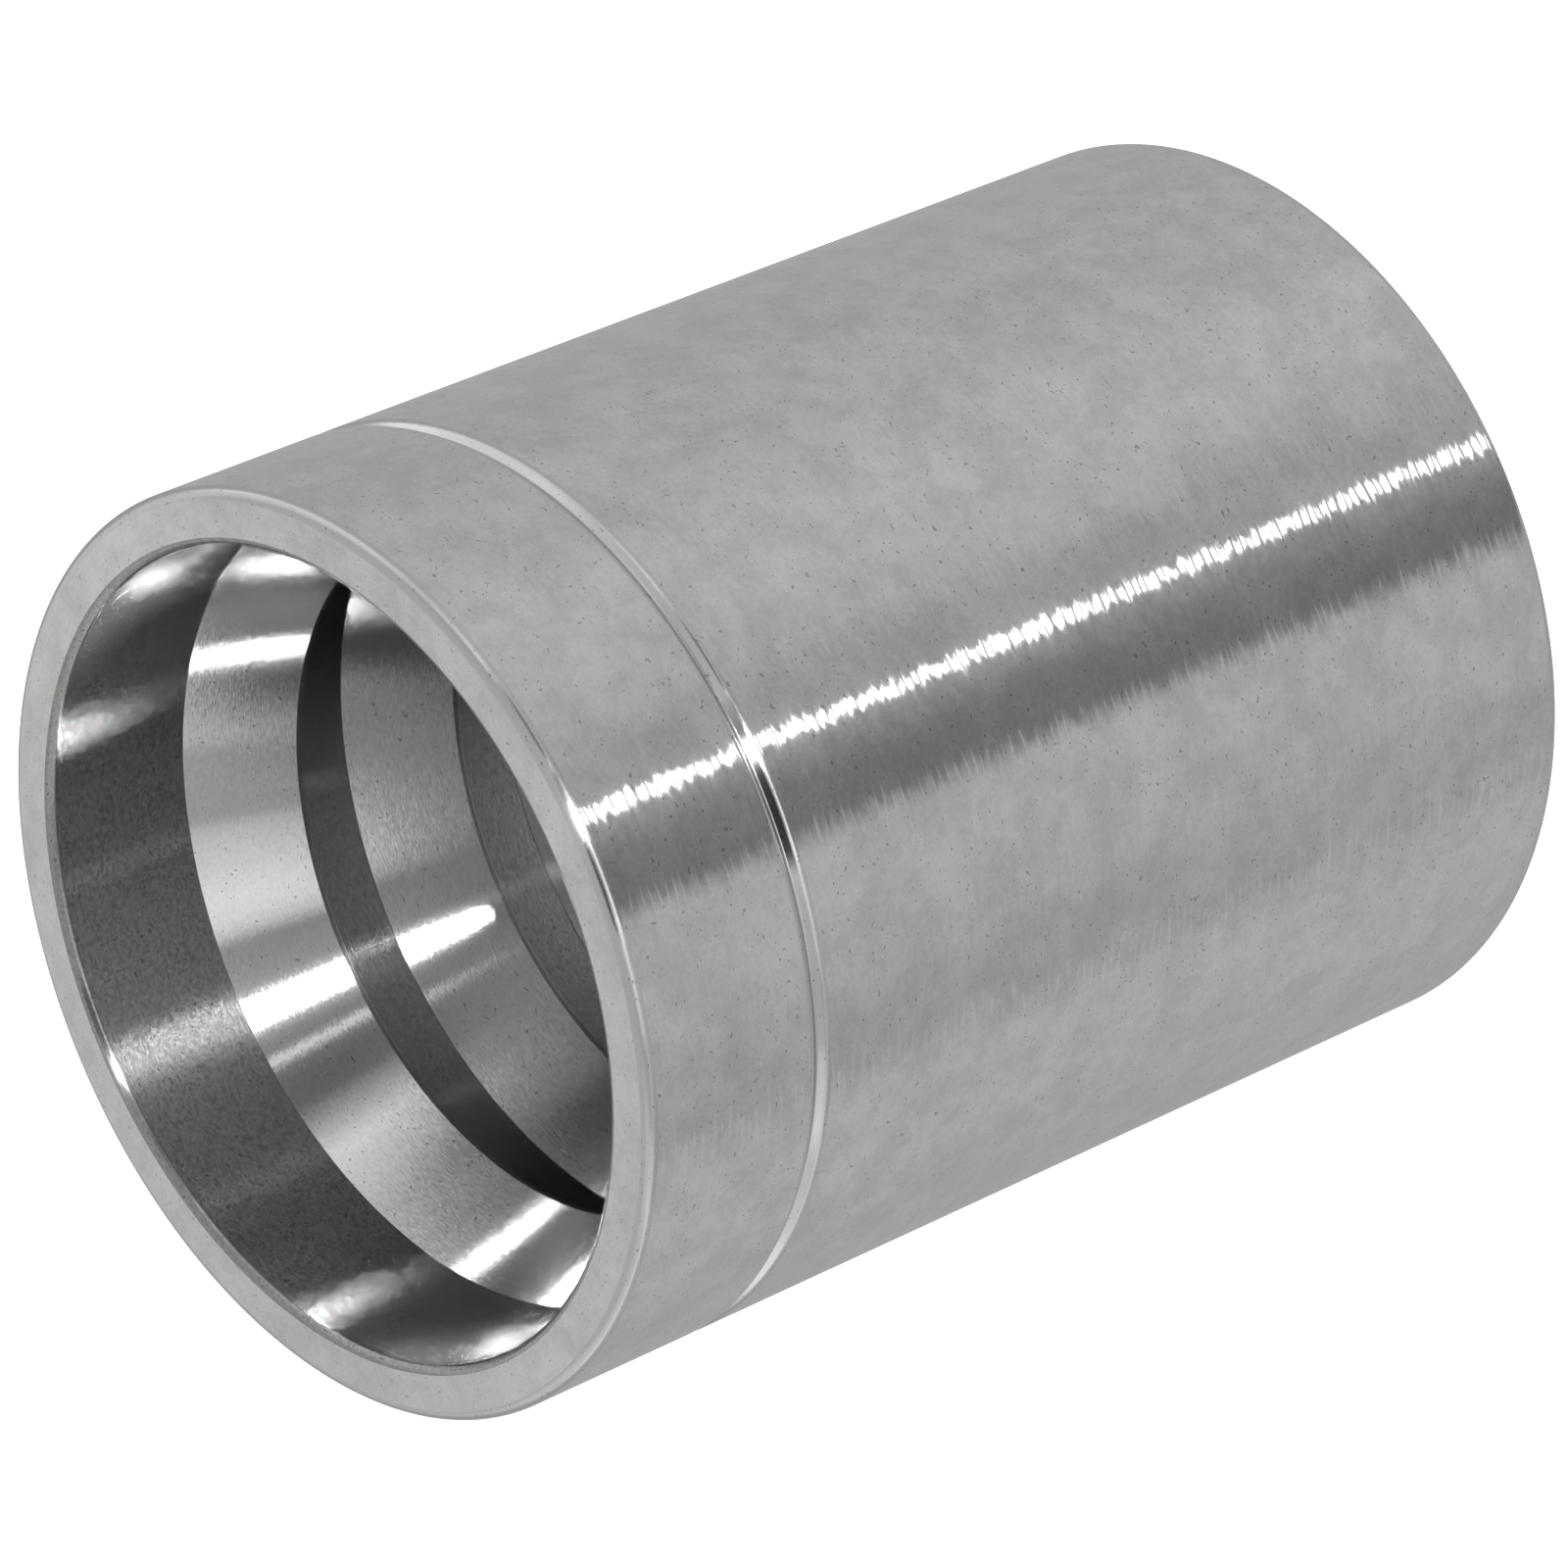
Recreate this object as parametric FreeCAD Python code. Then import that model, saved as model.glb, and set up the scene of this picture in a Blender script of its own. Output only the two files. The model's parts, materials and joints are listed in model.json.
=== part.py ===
# Crimp ferrule for a wire braided hydraulic hose, turned from bar as one piece of steel.
# The hose end is pushed in at the mouth, the hose tail passes through the collar at the back,
# and the sleeve is then crimped, which presses the barbs of its bore into the hose.
# Origin in the middle of the back face, +Z along the axis towards the mouth. Millimetres.
import FreeCAD, Part
import math
import os

# Mating parts
hose_diameter = 30.2        # over the cover, the largest that goes in
hose_clearance = 0.4        # radial, between the hose and the barb tips
tail_diameter = 25.0        # shoulder of the hose tail that the collar locks behind
tail_clearance = 0.25       # radial

# Sleeve
overall_length = 53.0
wall = 2.5                  # between the outside and the bore, where there is no barb
outer_edge_round = 0.5      # both outer edges
mouth_chamfer = 0.25        # at 45 degrees
mouth_land = 7.3            # straight bore from the mouth face to the first barb

# Barbs: a long ramp that lets the hose in, then a steep back that holds it
barb_height = 2.5           # radial, from the bore to the tip
barb_gap = 3.9              # straight bore from the foot of one barb to the next ramp
barb_ramp_angle = 30.0      # from the axis
barb_back_angle = 10.0      # from a plane square to the axis
barb_tip_land = 0.25        # narrow cylinder left on each tip
end_land = 6.0              # at least this much straight bore between last barb and collar

# Collar at the back
collar_thickness = 5.5
collar_chamfer = 0.6        # both edges of its bore, at 45 degrees

# Line scored round the outside, which shows how far the crimping dies may reach
groove_from_mouth = 9.4
groove_width = 0.8
groove_depth = 0.35

# A rounding takes at most this share of the shorter side beside its corner
largest_share = 0.49

# Sizes that follow
tip_radius = hose_diameter / 2 + hose_clearance
bore_radius = tip_radius + barb_height
outer_radius = bore_radius + wall
collar_radius = tail_diameter / 2 + tail_clearance
ramp_length = barb_height / math.tan(math.radians(barb_ramp_angle))
back_length = barb_height * math.tan(math.radians(barb_back_angle))
barb_length = ramp_length + barb_tip_land + back_length
barb_pitch = barb_length + barb_gap
barb_room = overall_length - mouth_land - barb_length - end_land - collar_thickness
barb_count = 1 + int(barb_room / barb_pitch)


def corner(radius, height, edge_round=0.0):
    """A corner of the half section: its distance from the axis, its height, its rounding."""
    return FreeCAD.Vector(radius, 0, height), edge_round


def outside_corners():
    """The outside, from the back face up to the mouth face, with the scored line."""
    groove_height = overall_length - groove_from_mouth
    return [
        corner(outer_radius, 0, outer_edge_round),
        corner(outer_radius, groove_height - groove_width / 2),
        corner(outer_radius - groove_depth, groove_height),
        corner(outer_radius, groove_height + groove_width / 2),
        corner(outer_radius, overall_length, outer_edge_round),
    ]


def mouth_corners():
    """The chamfer that leads the hose in."""
    return [
        corner(bore_radius + mouth_chamfer, overall_length),
        corner(bore_radius, overall_length - mouth_chamfer),
    ]


def barb_corners(start):
    """One barb, from the height where its ramp leaves the bore to the foot of its back."""
    tip = start - ramp_length
    tip_end = tip - barb_tip_land
    return [
        corner(bore_radius, start),
        corner(tip_radius, tip),
        corner(tip_radius, tip_end),
        corner(bore_radius, tip_end - back_length),
    ]


def collar_corners():
    """The collar that closes the bore down at the back, down to the back face."""
    return [
        corner(bore_radius, collar_thickness),
        corner(collar_radius + collar_chamfer, collar_thickness),
        corner(collar_radius, collar_thickness - collar_chamfer),
        corner(collar_radius, collar_chamfer),
        corner(collar_radius + collar_chamfer, 0),
    ]


def half_section_corners():
    """All corners of the half section in order, up the outside and down the bore."""
    corners = outside_corners() + mouth_corners()
    for index in range(barb_count):
        corners += barb_corners(overall_length - mouth_land - index * barb_pitch)
    return corners + collar_corners()


def rounding_arc(before, at, after, edge_round):
    """Start, middle and end of the arc that rounds the corner between two straight sides."""
    to_before = before - at
    to_after = after - at
    shorter_side = min(to_before.Length, to_after.Length)
    to_before.normalize()
    to_after.normalize()
    half_angle = to_before.getAngle(to_after) / 2
    largest = largest_share * shorter_side * math.tan(half_angle)
    radius = min(edge_round, largest)
    reach = radius / math.tan(half_angle)
    bisector = to_before + to_after
    bisector.normalize()
    middle = at + bisector * (radius / math.sin(half_angle) - radius)
    return at + to_before * reach, middle, at + to_after * reach


def closed_wire(corners):
    """The closed outline through the corners, with an arc at each rounded one."""
    stretches = []
    for index, (at, edge_round) in enumerate(corners):
        before = corners[index - 1][0]
        after = corners[(index + 1) % len(corners)][0]
        if edge_round > 0:
            stretches.append(rounding_arc(before, at, after, edge_round))
        else:
            stretches.append((at,))
    edges = []
    for index, points in enumerate(stretches):
        edges.append(Part.LineSegment(stretches[index - 1][-1], points[0]).toShape())
        if len(points) == 3:
            edges.append(Part.Arc(*points).toShape())
    return Part.Wire(edges)


def make_ferrule():
    """The half section turned once round the axis."""
    section = Part.Face(closed_wire(half_section_corners()))
    return section.revolve(FreeCAD.Vector(0, 0, 0), FreeCAD.Vector(0, 0, 1), 360)


def main():
    ferrule = make_ferrule()
    os.makedirs("parts", exist_ok=True)
    ferrule.exportStep("parts/ferrule.step")
    box = ferrule.optimalBoundingBox(False)
    print("ferrule", ferrule.ShapeType, "valid", ferrule.isValid(), "barbs", barb_count)
    print("size", round(box.XLength, 3), round(box.YLength, 3), round(box.ZLength, 3))
    print("volume", round(ferrule.Volume, 1), "faces", len(ferrule.Faces))


main()
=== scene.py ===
import json
import math

import bpy
import numpy as np
from mathutils import Matrix, Vector


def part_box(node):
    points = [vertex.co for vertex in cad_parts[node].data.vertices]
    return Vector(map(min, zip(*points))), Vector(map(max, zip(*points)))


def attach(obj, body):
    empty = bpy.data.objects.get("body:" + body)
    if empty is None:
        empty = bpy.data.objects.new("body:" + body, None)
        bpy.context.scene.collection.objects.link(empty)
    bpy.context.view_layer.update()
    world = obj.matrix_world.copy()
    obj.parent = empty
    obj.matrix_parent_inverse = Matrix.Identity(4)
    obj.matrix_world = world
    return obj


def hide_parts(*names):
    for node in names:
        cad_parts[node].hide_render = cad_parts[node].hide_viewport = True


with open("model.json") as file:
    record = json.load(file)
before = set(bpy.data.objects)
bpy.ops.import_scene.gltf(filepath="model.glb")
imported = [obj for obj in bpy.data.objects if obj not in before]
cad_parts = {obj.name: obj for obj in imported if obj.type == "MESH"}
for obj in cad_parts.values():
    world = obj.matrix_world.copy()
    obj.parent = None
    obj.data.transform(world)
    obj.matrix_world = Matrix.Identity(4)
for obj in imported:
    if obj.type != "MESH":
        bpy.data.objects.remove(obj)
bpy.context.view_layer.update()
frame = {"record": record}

mm = 0.001

# Sizes of the sleeve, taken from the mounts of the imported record
mounts = {mount["name"]: mount for mount in frame["record"]["mounts"]}


def wall_radius(name):
    """Radius of a round mount, in metres."""
    return mounts[name]["dims"]["r_mm"] * mm


def wall_span(name):
    """Lowest and highest height of a round mount's wall, in metres."""
    middle = mounts[name]["pos_m"][2]
    half = mounts[name]["dims"]["length_mm"] * mm / 2
    return middle - half, middle + half


overall_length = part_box("ferrule")[1].z
outer_radius = wall_radius("crimp_surface")
bore_radius = wall_radius("mouth_bore")
tip_radius = wall_radius("hose_bore")
collar_radius = wall_radius("tail_bore")
outer_edge_round, groove_start = wall_span("crimp_surface")
first_ramp_start, mouth_chamfer_start = wall_span("mouth_bore")
last_tip_end, first_tip = wall_span("hose_bore")
collar_chamfer, collar_chamfer_start = wall_span("tail_bore")

# Sizes that no mount states, as in the part's source
barb_count = 4
barb_tip_land = 0.25 * mm
barb_back_angle = math.radians(10)
groove_width = 0.8 * mm
groove_depth = 0.35 * mm

# Sizes that follow
mouth_chamfer = overall_length - mouth_chamfer_start
collar_thickness = collar_chamfer_start + collar_chamfer
ramp_length = first_ramp_start - first_tip
back_length = (bore_radius - tip_radius) * math.tan(barb_back_angle)
barb_pitch = (first_tip - barb_tip_land - last_tip_end) / (barb_count - 1)

# Softening of the edges that the solid has sharp, too small to change its form
edge_break = 0.05 * mm
chamfer_round = 0.3 * mm
groove_shoulder = 0.4 * mm
groove_bottom = 0.12 * mm
tip_break = 0.06 * mm
tool_nose = 0.12 * mm

# Fineness of the mesh
faces_round = 384           # round the axis
arc_steps = 40              # in a full turn of an edge round

# The photograph's camera
camera_lens = 221.2         # in millimetres, as is the sensor
camera_sensor = 36
camera_distance = 0.4163
camera_elevation = math.radians(36.86)
camera_roll = math.radians(-112.7)
camera_right = -0.00031     # moves the camera sideways in its own picture plane
camera_up = -0.00086        # moves it up in that plane

# The key lamp, a flat rectangle. Azimuth 0 is the camera's side, here and below.
lamp_azimuth = math.radians(6.2)
lamp_elevation = math.radians(25.75)
lamp_distance = 0.9
lamp_width = 0.062
lamp_height = 0.181
lamp_power = 10.5

# The floor, and a disc just under the sleeve whose glow comes in through the open back
floor_half = 3.0
floor_paint = 0.8
floor_glow = 0.55           # added for the camera, which makes the floor white
bore_glow = 0.25            # added for all other rays
disc_share = 0.97           # of the sleeve's outer radius
disc_gap = 0.05 * mm        # below the back face
disc_corners = 64

# The lamp's gleam on the table, which the outside mirrors as a streak. Heights in the surroundings
# are sines of the elevation, so -1 is straight down and 0 is the horizon.
gleam_azimuth = math.radians(7.2)
gleam_half = math.radians(1.5)
gleam_edge = 0.2            # softness of its sides, as a share of its half width
gleam_near = -0.72, -0.66   # fades in between these heights
gleam_far = -0.49, -0.55    # and out between these
gleam_level = 5.0

# What stands round the sleeve in a photo studio, as (azimuth in degrees, level). From below
# upwards: the pale table, a backdrop along the horizon, soft boxes with dark gaps between them,
# the camera's dark outline above its lens, and the ceiling.
table = [
    (-180, 0.48), (-160, 0.47), (-148, 0.52), (-138, 0.53), (-124, 0.60), (-108, 0.66), (-82, 0.655),
    (-80, 0.555), (-62, 0.565), (-50, 0.645), (-28, 0.69), (-20, 0.66), (-15, 0.26), (-5, 0.29),
    (0, 0.35), (12, 0.49), (20, 0.545), (28, 0.66), (36, 0.70), (48, 0.74), (60, 0.755), (68, 0.705),
    (76, 0.67), (100, 0.645), (116, 0.605), (132, 0.565), (148, 0.515), (180, 0.48),
]
backdrop = [
    (-180, 0.60), (-150, 0.55), (-135, 0.90), (-125, 1.35), (-85, 1.30), (-65, 0.90), (-22, 0.90),
    (-18, 2.80), (12, 2.80), (16, 0.90), (65, 0.90), (85, 1.30), (125, 1.35), (135, 0.90),
    (150, 0.55), (180, 0.60),
]
soft_boxes = [
    (-180, 0.82), (-174, 0.70), (-150, 0.95), (-116, 0.95), (-94, 0.82), (-86, 1.15), (-78, 0.98),
    (-69, 0.95), (-66, 0.64), (-47, 0.60), (-44.5, 0.97), (-26, 1.52), (-20, 1.52), (-16, 1.25),
    (-12.5, 0.52), (-4, 0.60), (8, 0.48), (18.2, 0.34), (18.9, 1.70), (20.7, 1.70), (21.4, 0.28),
    (27, 0.15), (34, 0.17), (42, 0.76), (49.5, 1.44), (53, 1.26), (64, 1.07), (71, 0.92), (86, 1.10),
    (145, 0.95), (174, 0.94), (180, 0.82),
]
camera_outline = [
    (-180, 0.74), (-150, 0.72), (-118, 0.75), (-100, 0.95), (-80, 0.85), (-60, 0.62), (-34, 0.65),
    (-26, 0.80), (-21, 0.02), (11, 0.02), (15, 0.40), (24, 0.75), (45, 0.66), (75, 0.60),
    (95, 0.70), (150, 0.72), (180, 0.74),
]
ceiling = [(-180, 0.70), (180, 0.70)]

# Each layer over the table, with the two heights between which it takes over
layers = [
    (0.03, 0.08, backdrop),
    (0.22, 0.27, soft_boxes),
    (0.54, 0.60, camera_outline),
    (0.86, 0.90, ceiling),
]

# Marks of the turning tool. A pair is a size round the axis and a size along the section.
short_stroke = 0.35 * mm    # length of the marks in the bore
long_stroke = 1.5 * mm      # and of those outside
ring_width = 0.035 * mm
ripple_share = 0.6, 0.24    # size of the ripples, as shares of the stroke
feed_pitch = 0.45 * mm      # between the lines that the tool's feed leaves
feed_drift = 2.5            # how far these lines wander, in pitches
feed_drift_size = 5 * mm, 1.2 * mm
feed_depth_size = 1.8 * mm, 0.5 * mm
feed_depth_edges = 0.36, 0.48       # a line is missing under the first level, full over the second
feed_line_edges = 0.16, 0.08        # half widths of a line at its foot and its top, in pitches

# Grain and clouds of the steel
grain_size = 0.26 * mm, 0.18 * mm
speck_start = 0.69          # level of the grain over which it turns into a dark speck
speck_gain = 0.10           # how much a strong grain lowers that level
speck_edge = 0.06
speck_level = 0.6
cloud_scale = 380.0         # clouds to a metre
cloud_detail = 4.0
cloud_roughness = 0.75
cloud_edges = 0.30, 0.70
tint_scale = 120.0
tint_edges = 0.46, 0.56
cool_tint = 0.998, 1.0, 1.0, 1
warm_tint = 1.0, 1.0, 0.972, 1

# Offsets that keep the noises of the marks apart
ripple_shift = 13.0
drift_shift = 19.0
depth_shift = 23.0
grain_shift = 41.0


def node(tree, kind, inputs=None, **settings):
    """A shader node with its settings, and its inputs set or linked by name or number."""
    made = tree.nodes.new(kind)
    for name, value in settings.items():
        setattr(made, name, value)
    for name, value in (inputs or {}).items():
        if isinstance(value, bpy.types.NodeSocket):
            tree.links.new(value, made.inputs[name])
        else:
            made.inputs[name].default_value = value
    return made


def maths(tree, operation, first, second=0.0, third=0.0):
    """The result of one Math node."""
    made = node(tree, "ShaderNodeMath", {0: first, 1: second, 2: third}, operation=operation)
    return made.outputs[0]


def vector_maths(tree, operation, inputs):
    """The result of one Vector Math node."""
    return node(tree, "ShaderNodeVectorMath", inputs, operation=operation).outputs[0]


def grey(level):
    """A grey as a colour value."""
    return level, level, level, 1


def ramp(tree, value, stops):
    """A grey ramp through stops of (position, level)."""
    made = node(tree, "ShaderNodeValToRGB", {"Fac": value})
    elements = made.color_ramp.elements
    while len(elements) < len(stops):
        elements.new(0.5)
    for element, (position, level) in zip(elements, stops):
        element.position = position
        element.color = grey(level)
    return made.outputs["Color"]


def blend(tree, share, first, second, how="MIX"):
    """Two colours mixed by a share, or put together in another way."""
    made = node(tree, "ShaderNodeMix", {0: share, 6: first, 7: second}, data_type="RGBA",
                blend_type=how)
    return made.outputs[2]


def between(tree, value, start, end):
    """0 up to the start, 1 from the end on, and smooth in between. The end may be the lower one."""
    made = node(tree, "ShaderNodeMapRange", {"Value": value, "From Min": start, "From Max": end},
                interpolation_type="SMOOTHSTEP")
    return made.outputs["Result"]


def towards(azimuth, elevation):
    """The direction from the sleeve to something that stands round it."""
    return Vector((math.sin(azimuth) * math.cos(elevation),
                   -math.cos(azimuth) * math.cos(elevation),
                   math.sin(elevation)))


def make_camera():
    """The camera of the photograph: above the mouth, rolled until the sleeve lies across."""
    data = bpy.data.cameras.new("camera")
    data.lens = camera_lens
    data.sensor_width = camera_sensor
    camera = bpy.data.objects.new("camera", data)
    bpy.context.scene.collection.objects.link(camera)
    back = towards(0, camera_elevation)
    upright = (-back).to_track_quat("-Z", "Y").to_matrix()
    turned = upright @ Matrix.Rotation(camera_roll, 3, "Z")
    centre = Vector((0, 0, overall_length / 2))
    place = centre + back * camera_distance + turned @ Vector((camera_right, camera_up, 0))
    camera.matrix_world = Matrix.Translation(place) @ turned.to_4x4()
    bpy.context.scene.camera = camera


def by_azimuth(tree, azimuth, stops):
    """A level that changes with the azimuth, from stops in degrees."""
    share = maths(tree, "MULTIPLY_ADD", azimuth, 1 / (2 * math.pi), 0.5)
    return ramp(tree, share, [((angle + 180) / 360, level) for angle, level in stops])


def gleam_share(tree, azimuth, height):
    """1 in the lamp's gleam on the table, and 0 round it."""
    aside = maths(tree, "ABSOLUTE", maths(tree, "SUBTRACT", azimuth, gleam_azimuth))
    across = between(tree, aside, gleam_half * (1 + gleam_edge), gleam_half * (1 - gleam_edge))
    near = between(tree, height, *gleam_near)
    far = between(tree, height, *gleam_far)
    return maths(tree, "MULTIPLY", across, maths(tree, "MULTIPLY", near, far))


def surroundings(tree):
    """The level of the studio in every direction."""
    direction = node(tree, "ShaderNodeTexCoord").outputs["Generated"]
    parts = node(tree, "ShaderNodeSeparateXYZ", {"Vector": direction}).outputs
    azimuth = maths(tree, "ARCTAN2", parts["X"], maths(tree, "MULTIPLY", parts["Y"], -1.0))
    gleam = gleam_share(tree, azimuth, parts["Z"])
    around = blend(tree, gleam, by_azimuth(tree, azimuth, table), grey(gleam_level))
    for low, high, stops in layers:
        share = between(tree, parts["Z"], low, high)
        around = blend(tree, share, around, by_azimuth(tree, azimuth, stops))
    return around


def make_world():
    """White to the camera, and the studio's surroundings to everything else."""
    world = bpy.data.worlds.new("studio")
    bpy.context.scene.world = world
    world.use_nodes = True
    tree = world.node_tree
    tree.nodes.clear()
    seen = node(tree, "ShaderNodeLightPath").outputs["Is Camera Ray"]
    lit = node(tree, "ShaderNodeBackground", {"Color": surroundings(tree), "Strength": 1.0})
    white = node(tree, "ShaderNodeBackground", {"Color": grey(1.0), "Strength": 1.0})
    mixed = node(tree, "ShaderNodeMixShader", {0: seen, 1: lit.outputs[0], 2: white.outputs[0]})
    node(tree, "ShaderNodeOutputWorld", {"Surface": mixed.outputs[0]})


def make_floor_material():
    """White paint with a faint glow, which is stronger for the camera."""
    material = bpy.data.materials.new("floor_white")
    material.use_nodes = True
    tree = material.node_tree
    tree.nodes.clear()
    seen = node(tree, "ShaderNodeLightPath").outputs["Is Camera Ray"]
    glow = maths(tree, "MULTIPLY_ADD", seen, floor_glow - bore_glow, bore_glow)
    paint = node(tree, "ShaderNodeBsdfDiffuse", {"Color": grey(floor_paint)})
    fill = node(tree, "ShaderNodeEmission", {"Color": grey(1.0), "Strength": glow})
    both = node(tree, "ShaderNodeAddShader", {0: paint.outputs[0], 1: fill.outputs[0]})
    node(tree, "ShaderNodeOutputMaterial", {"Surface": both.outputs[0]})
    return material


def make_stage_face(name, corners, material):
    """One flat face that stands round the object and isn't part of it."""
    data = bpy.data.meshes.new(name)
    data.from_pydata(corners, [], [tuple(range(len(corners)))])
    data.materials.append(material)
    face = bpy.data.objects.new(name, data)
    bpy.context.scene.collection.objects.link(face)
    return face


def make_floor(material):
    """A plain white table that keeps the sleeve's shadow. The steel mirrors the world's table."""
    corners = [
        (-floor_half, -floor_half, 0),
        (floor_half, -floor_half, 0),
        (floor_half, floor_half, 0),
        (-floor_half, floor_half, 0),
    ]
    floor = make_stage_face("floor", corners, material)
    floor.visible_glossy = False
    floor.visible_shadow = False


def make_disc(material):
    """The disc under the sleeve, which the steel mirrors through the open back of the bore."""
    radius = outer_radius * disc_share
    angles = np.linspace(0, 2 * math.pi, disc_corners, endpoint=False)
    corners = [(radius * math.cos(angle), radius * math.sin(angle), -disc_gap) for angle in angles]
    make_stage_face("floor_in_bore", corners, material)


def make_lamp():
    """The key lamp, which faces the middle of the sleeve."""
    data = bpy.data.lights.new("key_lamp", "AREA")
    data.shape = "RECTANGLE"
    data.size = lamp_width
    data.size_y = lamp_height
    data.energy = lamp_power
    lamp = bpy.data.objects.new("key_lamp", data)
    bpy.context.scene.collection.objects.link(lamp)
    back = towards(lamp_azimuth, lamp_elevation)
    lamp.location = Vector((0, 0, overall_length / 2)) + back * lamp_distance
    lamp.rotation_mode = "QUATERNION"
    lamp.rotation_quaternion = (-back).to_track_quat("-Z", "Y")


# A corner of the half section is its radius, height and rounding, and the finish of the straight
# stretch that follows it. The corners go up the outside and down the bore. The finishes are:
# outside; groove, the scored line; face, the mouth face, the back face and the collar's front;
# mouth, the straight wall behind the mouth; bore, ramps and backs of the barbs and the collar's
# bore; floor, the straight bore behind each barb, darker by painted shade; edge, all rounds
# outside and the chamfers of the collar; crest, all rounds inside and the chamfer of the mouth,
# darker by painted shade.

def outside_corners():
    """The outside, from the back face up to the mouth face, with the scored line."""
    groove_middle = groove_start + groove_width / 2
    groove_end = groove_start + groove_width
    return [
        (outer_radius, 0, outer_edge_round, "outside"),
        (outer_radius, groove_start, groove_shoulder, "groove"),
        (outer_radius - groove_depth, groove_middle, groove_bottom, "groove"),
        (outer_radius, groove_end, groove_shoulder, "outside"),
        (outer_radius, overall_length, outer_edge_round, "face"),
    ]


def mouth_corners():
    """The chamfer that leads the hose in."""
    return [
        (bore_radius + mouth_chamfer, overall_length, chamfer_round, "crest"),
        (bore_radius, mouth_chamfer_start, chamfer_round, "mouth"),
    ]


def barb_corners(tip):
    """One barb, from the start of its ramp to the foot of its back. The tip is the ramp's end."""
    tip_end = tip - barb_tip_land
    return [
        (bore_radius, tip + ramp_length, tool_nose, "bore"),
        (tip_radius, tip, tip_break, "crest"),
        (tip_radius, tip_end, tip_break, "bore"),
        (bore_radius, tip_end - back_length, tool_nose, "floor"),
    ]


def collar_corners():
    """The collar that closes the bore down at the back, down to the back face."""
    return [
        (bore_radius, collar_thickness, tool_nose, "face"),
        (collar_radius + collar_chamfer, collar_thickness, edge_break, "edge"),
        (collar_radius, collar_chamfer_start, edge_break, "bore"),
        (collar_radius, collar_chamfer, edge_break, "edge"),
        (collar_radius + collar_chamfer, 0, edge_break, "face"),
    ]


def section_corners():
    """All corners of the half section in order."""
    corners = outside_corners() + mouth_corners()
    for index in range(barb_count):
        corners += barb_corners(first_tip - index * barb_pitch)
    return corners + collar_corners()


def rounding_arc(before, at, after, rounding):
    """The arc that rounds a corner between two straight sides, as (point, outward normal)."""
    to_before = (before - at).normalized()
    to_after = (after - at).normalized()
    half = to_before.angle(to_after) / 2
    reach = rounding / math.tan(half)
    bisector = (to_before + to_after).normalized()
    centre = at + bisector * (rounding / math.sin(half))
    start = at + to_before * reach - centre
    end = at + to_after * reach - centre
    turn = start.angle_signed(end)
    steps = max(2, round(arc_steps * (math.pi - 2 * half) / (2 * math.pi)))
    # The normals point away from the arc's centre on a convex corner, and towards it on a hollow one
    convex = to_before.y * to_after.x > to_before.x * to_after.y
    side = 1 if convex else -1
    arc = []
    for step in range(steps + 1):
        spoke = start.copy()
        spoke.rotate(Matrix.Rotation(-turn * step / steps, 2))
        arc.append((centre + spoke, spoke.normalized() * side))
    return arc


def section_points(corners):
    """Points of the rounded section, with their outward normals and the finish that starts there."""
    points = []
    for index, (radius, height, rounding, zone) in enumerate(corners):
        before = Vector(corners[index - 1][:2])
        after = Vector(corners[(index + 1) % len(corners)][:2])
        arc = rounding_arc(before, Vector((radius, height)), after, rounding)
        arc_zone = "edge" if radius > bore_radius + mouth_chamfer else "crest"
        zones = [arc_zone] * (len(arc) - 1) + [zone]
        for (point, normal), finish in zip(arc, zones):
            points.append((point, normal, finish))
    return points


def turned_round(section):
    """Pairs of a radial and an axial value turned round the axis, one column after another."""
    angle = np.linspace(0, 2 * math.pi, faces_round, endpoint=False)
    around = np.stack([np.cos(angle), np.sin(angle)], axis=1)
    ring = around[:, None, :] * section[None, :, :1]
    height = np.broadcast_to(section[None, :, 1:], (faces_round, len(section), 1))
    return np.concatenate([ring, height], axis=2).reshape(-1, 3).tolist()


def turned_faces(rows):
    """The faces between neighbouring columns of points, as the numbers of their four corners."""
    column = np.arange(faces_round)[:, None] * rows
    following = np.roll(column, -1, axis=0)
    row = np.arange(rows)[None, :]
    above = np.roll(row, -1, axis=1)
    faces = np.stack([column + row, following + row, following + above, column + above], axis=2)
    return faces.reshape(-1, 4).tolist()


def measure_along(data, place):
    """Gives each corner of a face its distance along the section, by which the marks are placed."""
    steps = np.linalg.norm(np.roll(place, -1, axis=0) - place, axis=1)
    travelled = np.cumsum(steps)
    ends = np.stack([travelled - steps, travelled - steps, travelled, travelled], axis=1)
    along = data.attributes.new("along", "FLOAT", "CORNER")
    along.data.foreach_set("value", np.tile(ends.ravel(), faces_round).astype(np.float32))


def make_ferrule(materials):
    """The sleeve as a fine lathe mesh with true edge rounds and exact normals."""
    points = section_points(section_corners())
    place = np.array([tuple(point) for point, _, _ in points])
    facing = np.array([tuple(normal) for _, normal, _ in points])
    data = bpy.data.meshes.new("ferrule_turned")
    data.from_pydata(turned_round(place), [], turned_faces(len(points)))
    for material in materials.values():
        data.materials.append(material)
    names = list(materials)
    slots = [names.index(zone) for _, _, zone in points]
    data.polygons.foreach_set("material_index", np.tile(slots, faces_round))
    data.polygons.foreach_set("use_smooth", np.ones(faces_round * len(points), bool))
    measure_along(data, place)
    data.validate()
    data.normals_split_custom_set_from_vertices(turned_round(facing))
    piece = bpy.data.objects.new("ferrule_turned", data)
    bpy.context.scene.collection.objects.link(piece)
    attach(piece, "root")
    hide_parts("ferrule")


def distance_along(tree):
    """How far along the section a spot lies."""
    return node(tree, "ShaderNodeAttribute", attribute_name="along").outputs["Fac"]


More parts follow.
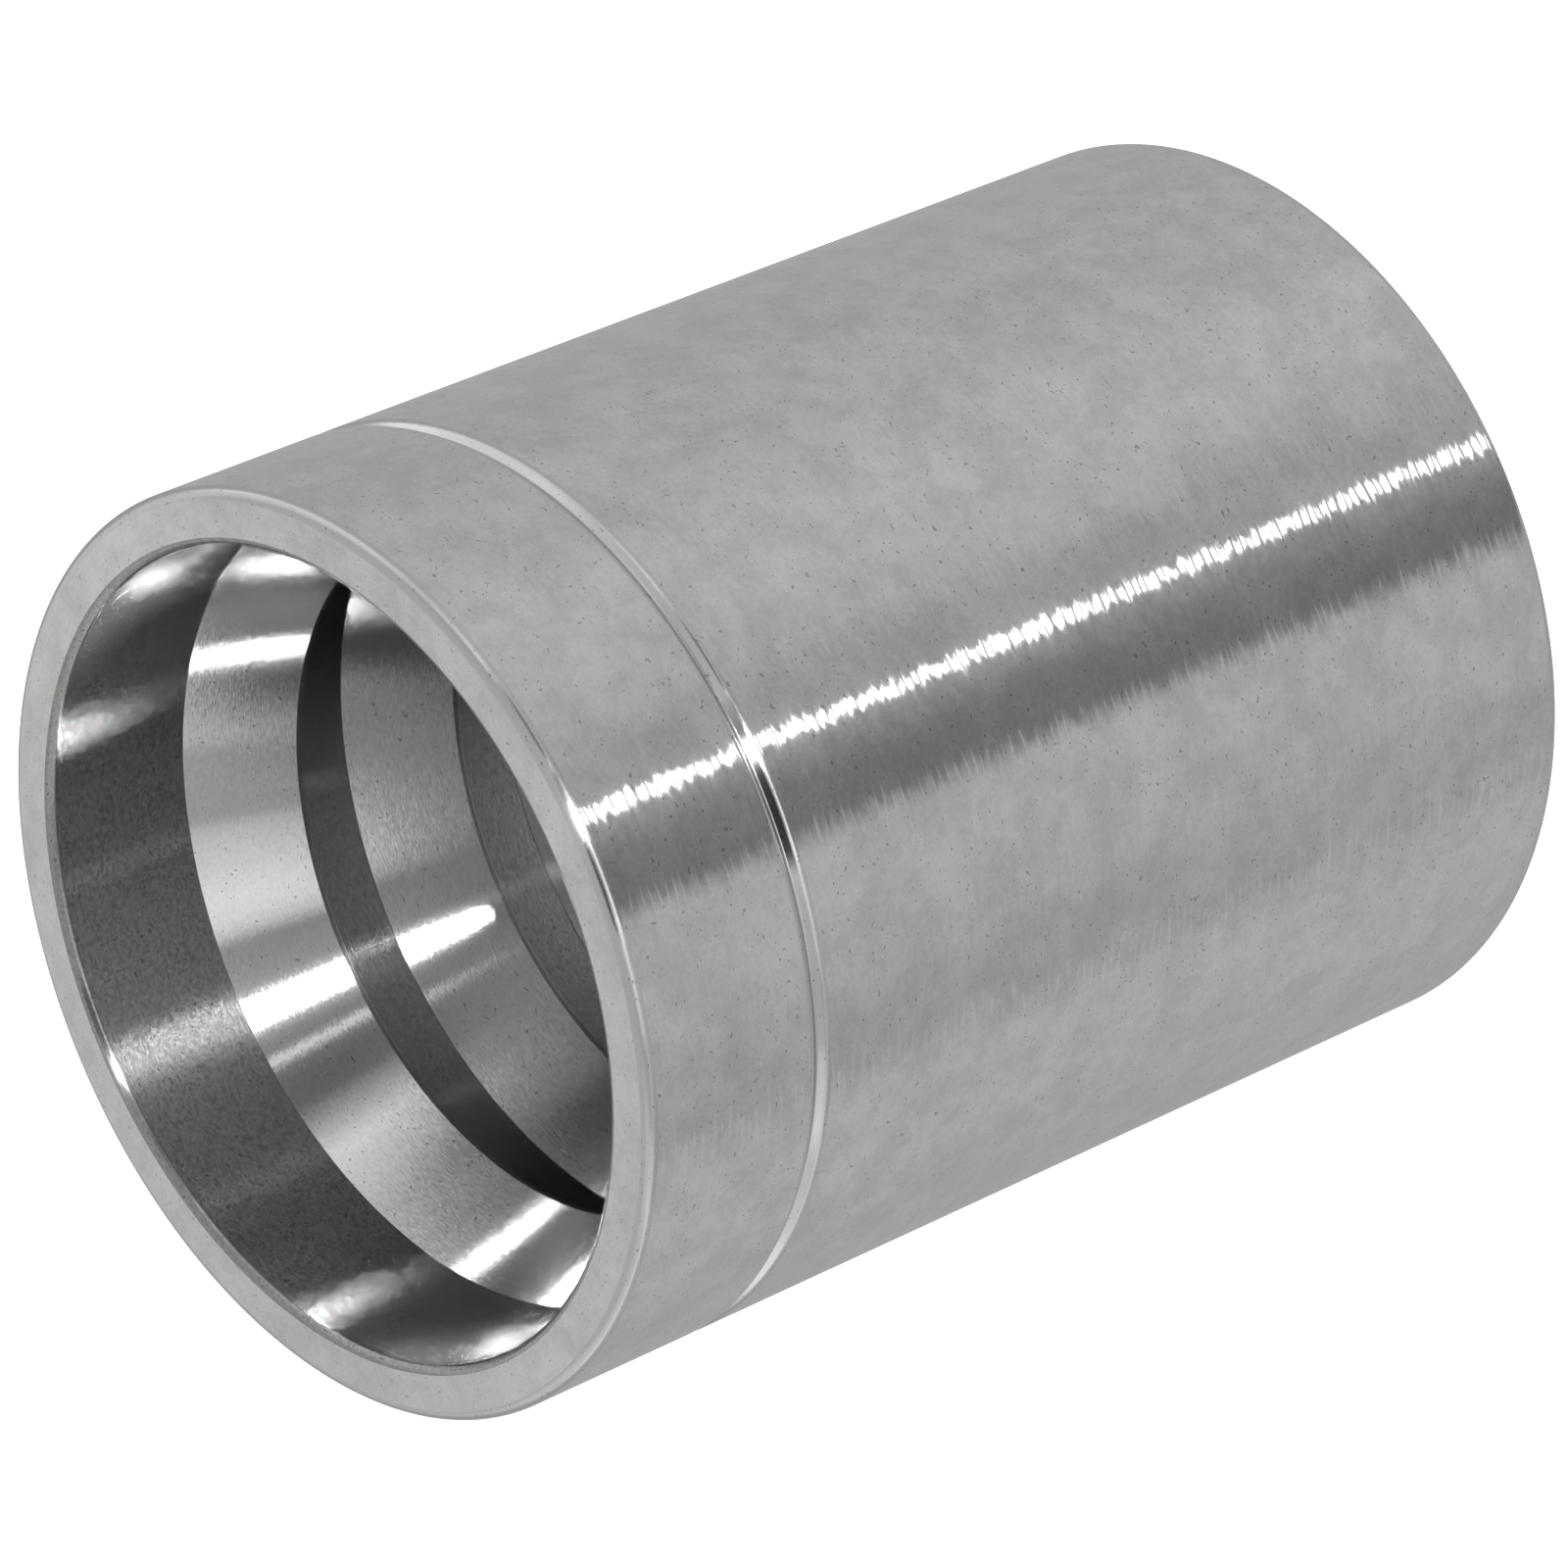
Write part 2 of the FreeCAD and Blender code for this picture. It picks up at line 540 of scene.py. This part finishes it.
def ring_noise(tree, round_size, along_size, shift=0.0):
    """Noise with marks of one size round the axis and another along the section."""
    spot = node(tree, "ShaderNodeTexCoord").outputs["Object"]
    parts = node(tree, "ShaderNodeSeparateXYZ", {"Vector": spot}).outputs
    place = node(tree, "ShaderNodeCombineXYZ", {
        "X": maths(tree, "MULTIPLY_ADD", parts["X"], 1 / round_size, shift),
        "Y": maths(tree, "MULTIPLY", parts["Y"], 1 / round_size),
        "Z": maths(tree, "MULTIPLY", distance_along(tree), 1 / along_size),
    }).outputs[0]
    made = node(tree, "ShaderNodeTexNoise", {"Vector": place, "Scale": 1.0, "Detail": 1.0})
    return made.outputs["Fac"]


def sway(tree, noise, amount):
    """Noise turned into a slope that swings to both sides of nothing."""
    return maths(tree, "MULTIPLY_ADD", noise, 2 * amount, -amount)


def feed_lines(tree):
    """1 on the thin, uneven lines that the feed of the turning tool leaves, and 0 between them."""
    drift = ring_noise(tree, *feed_drift_size, drift_shift)
    wander = maths(tree, "MULTIPLY", drift, feed_drift)
    turns = maths(tree, "MULTIPLY_ADD", distance_along(tree), 1 / feed_pitch, wander)
    aside = maths(tree, "ABSOLUTE", maths(tree, "SUBTRACT", maths(tree, "FRACT", turns), 0.5))
    depth = ring_noise(tree, *feed_depth_size, depth_shift)
    line = between(tree, aside, *feed_line_edges)
    return maths(tree, "MULTIPLY", line, between(tree, depth, *feed_depth_edges))


def shifted(tree, start, direction, amount):
    """A vector moved along a direction."""
    step = vector_maths(tree, "SCALE", {0: direction, "Scale": amount})
    return vector_maths(tree, "ADD", {0: start, 1: step})


def turned_normal(tree, tangent, rings, stroke, feed, ripple):
    """The surface's normal, tipped along the section by the rings and a little round the axis."""
    normal = node(tree, "ShaderNodeNewGeometry").outputs["Normal"]
    section = vector_maths(tree, "CROSS_PRODUCT", {0: normal, 1: tangent})
    slope = sway(tree, ring_noise(tree, stroke, ring_width), rings)
    if feed:
        slope = maths(tree, "MULTIPLY_ADD", feed_lines(tree), feed, slope)
    summed = shifted(tree, normal, section, slope)
    if ripple:
        sizes = [stroke * share for share in ripple_share]
        across = sway(tree, ring_noise(tree, *sizes, ripple_shift), ripple)
        summed = shifted(tree, summed, tangent, across)
    return vector_maths(tree, "NORMALIZE", {0: summed})


def clouded(tree, colour, depth):
    """A colour with faint light, dark, warm and cool clouds a few millimetres across."""
    spot = node(tree, "ShaderNodeTexCoord").outputs["Object"]
    light = node(tree, "ShaderNodeTexNoise", {
        "Vector": spot,
        "Scale": cloud_scale,
        "Detail": cloud_detail,
        "Roughness": cloud_roughness,
    }).outputs["Fac"]
    tint = node(tree, "ShaderNodeTexNoise", {
        "Vector": spot,
        "Scale": tint_scale,
        "Detail": 1.0,
    }).outputs["Fac"]
    shade = blend(tree, between(tree, light, *cloud_edges), grey(1 - depth), grey(1 + depth))
    hue = blend(tree, between(tree, tint, *tint_edges), cool_tint, warm_tint)
    return blend(tree, 1.0, blend(tree, 1.0, colour, shade, "MULTIPLY"), hue, "MULTIPLY")


def steel_colour(tree, level, grain, clouds):
    """The steel's grey with its grain, its clouds and rare dark specks."""
    fine = ring_noise(tree, *grain_size, grain_shift)
    colour = blend(tree, fine, grey(level * (1 - grain)), grey(level * (1 + grain)))
    if clouds:
        colour = clouded(tree, colour, clouds)
    rare = speck_start - speck_gain * grain
    speck = between(tree, fine, rare, rare + speck_edge)
    return blend(tree, speck, colour, grey(level * speck_level))


def make_steel(name, level, roughness, stroke=short_stroke, rings=0.0, feed=0.0, ripple=0.0,
               grain=0.05, clouds=0.0):
    """Turned steel. The marks of the tool run round the axis, so its shine spreads across them."""
    material = bpy.data.materials.new(name)
    material.use_nodes = True
    tree = material.node_tree
    tree.nodes.clear()
    tangent = node(tree, "ShaderNodeTangent", direction_type="RADIAL", axis="Z").outputs[0]
    shader = node(tree, "ShaderNodeBsdfPrincipled", {
        "Base Color": steel_colour(tree, level, grain, clouds),
        "Metallic": 1.0,
        "Roughness": roughness,
        "Anisotropic": 1.0,
        "Anisotropic Rotation": 0.25,
        "Tangent": tangent,
        "Normal": turned_normal(tree, tangent, rings, stroke, feed, ripple),
    })
    node(tree, "ShaderNodeOutputMaterial", {"Surface": shader.outputs[0]})
    return material


def make_finishes():
    """The steel of each finish. Level is its grey, and rings, feed and ripple are slopes of marks."""
    return {
        "outside": make_steel("steel_outside", level=0.55, roughness=0.13, stroke=long_stroke,
                              rings=0.08, feed=-0.11, ripple=0.022, grain=0.10, clouds=0.10),
        "face": make_steel("steel_face", level=0.55, roughness=0.15, stroke=long_stroke, rings=0.10,
                           ripple=0.02, grain=0.07, clouds=0.09),
        "mouth": make_steel("steel_mouth", level=0.46, roughness=0.19, rings=0.18, ripple=0.020,
                            grain=0.60),
        "bore": make_steel("steel_bore", level=0.50, roughness=0.14, rings=0.08, ripple=0.012,
                           grain=0.12),
        # The floor finish, the straight bore behind each barb, has a lower grey that is painted shade
        # in that recess.
        "floor": make_steel("steel_floor", level=0.42, roughness=0.14, rings=0.06, grain=0.35),
        "groove": make_steel("steel_groove", level=0.55, roughness=0.11),
        "edge": make_steel("steel_edge", level=0.50, roughness=0.16, ripple=0.02),
        # The crest finish has a low grey that is painted shade: dark lines along the inner rounds,
        # the barb tips and the mouth chamfer.
        "crest": make_steel("steel_crest", level=0.30, roughness=0.20, grain=0.35),
    }


make_camera()
make_world()
floor_material = make_floor_material()
make_floor(floor_material)
make_disc(floor_material)
make_lamp()
make_ferrule(make_finishes())

bpy.context.scene.view_settings.view_transform = "Standard"

# In the bore the lamp's light goes from wall to wall, and none of it is clipped
bpy.context.scene.cycles.glossy_bounces = 12
bpy.context.scene.cycles.sample_clamp_indirect = 0

# The steel finds the surroundings by its own reflections, so sampling them would only cost time
bpy.context.scene.world.cycles.sampling_method = "NONE"
